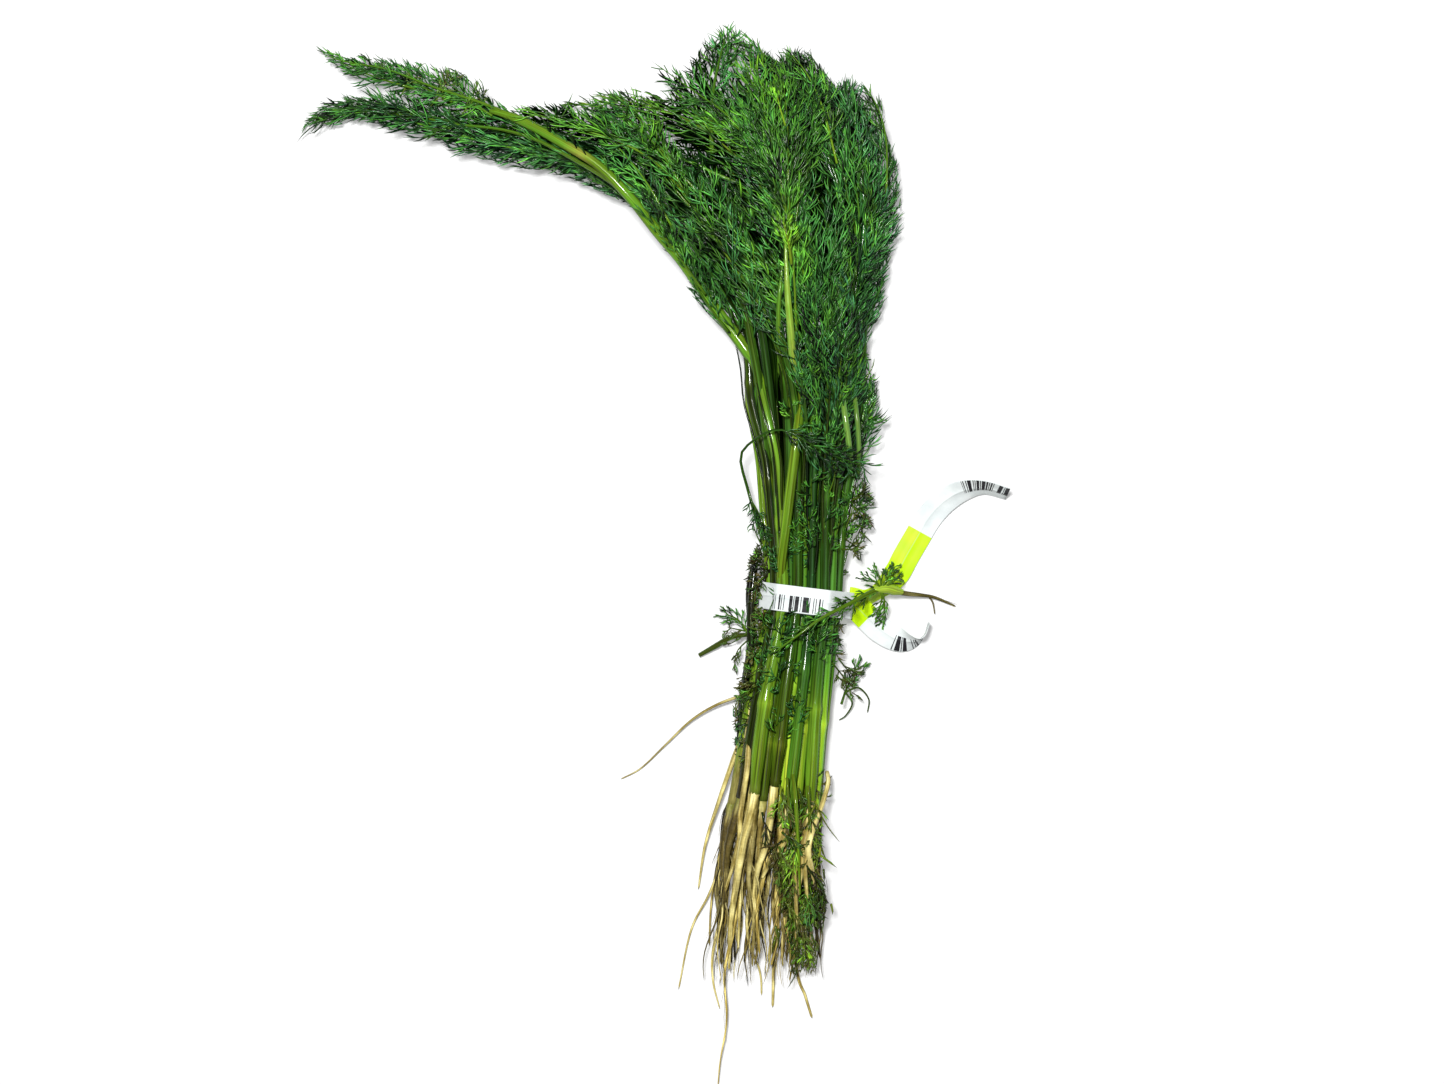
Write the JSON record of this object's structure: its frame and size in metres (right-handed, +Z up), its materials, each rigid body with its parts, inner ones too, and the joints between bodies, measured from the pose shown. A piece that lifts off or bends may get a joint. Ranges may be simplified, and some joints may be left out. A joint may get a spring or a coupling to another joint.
{
  "type": "dill bunch",
  "caption": "Bunch of fresh dill lying flat: bare stems tied by a paper twist tie, feathery leaves fanning out and bending aside at one end, thin pale roots at the other.",
  "frame": {"origin": "middle of the flat underside of the twist tie, on the surface that the bunch lies on", "axes": "+Z up from the surface, +Y along the bunch from the roots towards the leaf tips, +X to the right of the bunch seen from above, where the tie's ends stick out"},
  "size_m": [0.3429, 0.515, 0.0579],
  "materials": {
    "leaf": "wet green stems and thread leaves with a soft sheen",
    "root": "damp cream root with brown streaks",
    "paper": "white twist-tie paper over a wire, with yellow-green parts"
  },
  "bodies": {
    "root": {"shoot_01": "leaf", "shoot_02": "leaf", "shoot_03": "leaf", "shoot_04": "leaf", "shoot_05": "leaf", "shoot_06": "leaf", "shoot_07": "leaf", "shoot_08": "leaf", "shoot_09": "leaf", "shoot_10": "leaf", "shoot_11": "leaf", "shoot_12": "leaf", "shoot_13": "leaf", "shoot_14": "leaf", "shoot_15": "leaf", "shoot_16": "leaf", "shoot_17": "leaf", "shoot_18": "leaf", "shoot_19": "leaf", "shoot_20": "leaf", "shoot_21": "leaf", "shoot_22": "leaf", "shoot_23": "leaf", "shoot_24": "leaf", "root_01": "root", "root_02": "root", "root_03": "root", "root_04": "root", "root_05": "root", "root_06": "root", "root_07": "root", "root_08": "root", "root_09": "root", "root_10": "root", "root_11": "root", "root_12": "root", "root_13": "root", "root_14": "root", "root_15": "root", "root_16": "root", "root_17": "root", "root_18": "root", "root_19": "root", "root_20": "root", "root_21": "root", "root_22": "root", "root_23": "root", "root_24": "root", "sprig_over": "leaf", "sprig_in_tie": "leaf", "sprig_left": "leaf", "sprig_right": "leaf", "sprig_low_1": "leaf", "sprig_low_2": "leaf", "sprig_in_tie_root": "root", "stray_root": "root", "tie": "paper"}
  },
  "joints": []
}
